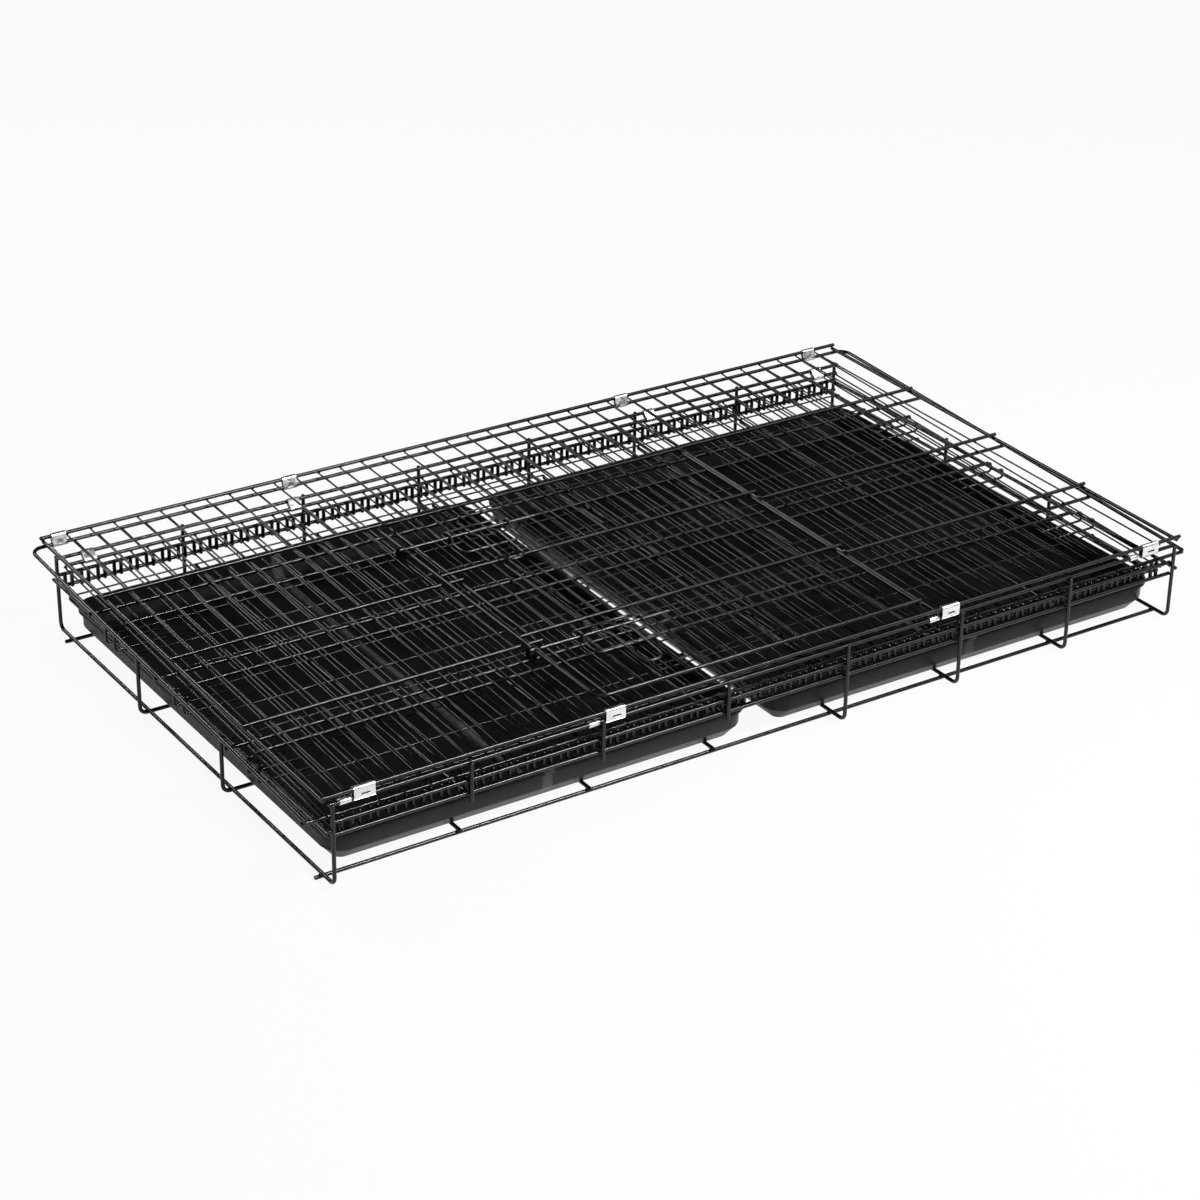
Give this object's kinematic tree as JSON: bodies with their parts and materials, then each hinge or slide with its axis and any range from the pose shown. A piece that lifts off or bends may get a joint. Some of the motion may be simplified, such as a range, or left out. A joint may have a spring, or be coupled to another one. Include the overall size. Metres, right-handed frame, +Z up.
{
  "type": "folding wire pet crate",
  "caption": "Folding wire pet crate, folded flat: raised wire base, sliding plastic floor trays, hinged mesh panels, side door with slide bolts and sheet-metal hinge clips.",
  "frame": {"origin": "on the floor under the middle of the base", "axes": "+Z up, +X along the length, +Y from the front with the tray slot to the back"},
  "size_m": [1.262, 0.7265, 0.1378],
  "materials": {
    "black_coated_wire": "satin black powder coat",
    "tray_plastic": "satin moulded plastic",
    "zinc_sheet": "bright zinc-plated sheet"
  },
  "bodies": {
    "base": {"bottom_rails": "black_coated_wire", "end_posts": "black_coated_wire", "end_rails": "black_coated_wire", "floor_cross_wires": "black_coated_wire", "floor_long_wires": "black_coated_wire", "front_hinge_clips": "zinc_sheet", "front_posts": "black_coated_wire", "left_end_hooks": "black_coated_wire", "left_end_panel_bars": "black_coated_wire", "left_end_panel_wires": "black_coated_wire", "rear_hinge_clips": "zinc_sheet", "rear_panel_cross_wires": "black_coated_wire", "rear_panel_long_wires": "black_coated_wire", "rear_posts": "black_coated_wire", "right_end_hooks": "black_coated_wire", "right_end_panel_bars": "black_coated_wire", "right_end_panel_wires": "black_coated_wire", "right_tray": "tray_plastic", "short_front_posts": "black_coated_wire", "top_rails": "black_coated_wire"},
    "lid": {"bolt_keepers": "black_coated_wire", "door_jambs": "black_coated_wire", "front_panel_cross_wires_left": "black_coated_wire", "front_panel_cross_wires_over_door": "black_coated_wire", "front_panel_cross_wires_right": "black_coated_wire", "front_panel_edge_wires": "black_coated_wire", "front_panel_end_wires": "black_coated_wire", "front_panel_long_wires": "black_coated_wire", "top_hinge_clips": "zinc_sheet", "top_panel_cross_wires": "black_coated_wire", "top_panel_hinge_wire": "black_coated_wire", "top_panel_long_wires": "black_coated_wire", "top_panel_side_wires": "black_coated_wire"},
    "side_door": {"bolt_guards": "black_coated_wire", "side_door_cross_wires": "black_coated_wire", "side_door_frame": "black_coated_wire", "side_door_long_wires": "black_coated_wire"},
    "upper_bolt": {"upper_bolt": "black_coated_wire"},
    "lower_bolt": {"lower_bolt": "black_coated_wire"},
    "left_tray": {"left_tray": "tray_plastic"}
  },
  "joints": [
    {"name": "lid_hinge", "type": "hinge", "parent": "base", "child": "lid", "pos_m": [0, -0.34645, 0.1145], "axis": [1, 0, 0], "range_deg": [0, 110]},
    {"name": "side_door_hinge", "type": "hinge", "parent": "lid", "child": "side_door", "pos_m": [0.224, -0.14641, 0.11274], "axis": [0, 0.9999, 0.014], "range_deg": [0, 105]},
    {"name": "upper_bolt_slide", "type": "slide", "parent": "side_door", "child": "upper_bolt", "axis": [-1, 0, 0], "range_m": [0, 0.022]},
    {"name": "lower_bolt_slide", "type": "slide", "parent": "side_door", "child": "lower_bolt", "axis": [-1, 0, 0], "range_m": [0, 0.022]},
    {"name": "left_tray_slide", "type": "slide", "parent": "base", "child": "left_tray", "axis": [0, -1, 0], "range_m": [0, 0.62]}
  ]
}
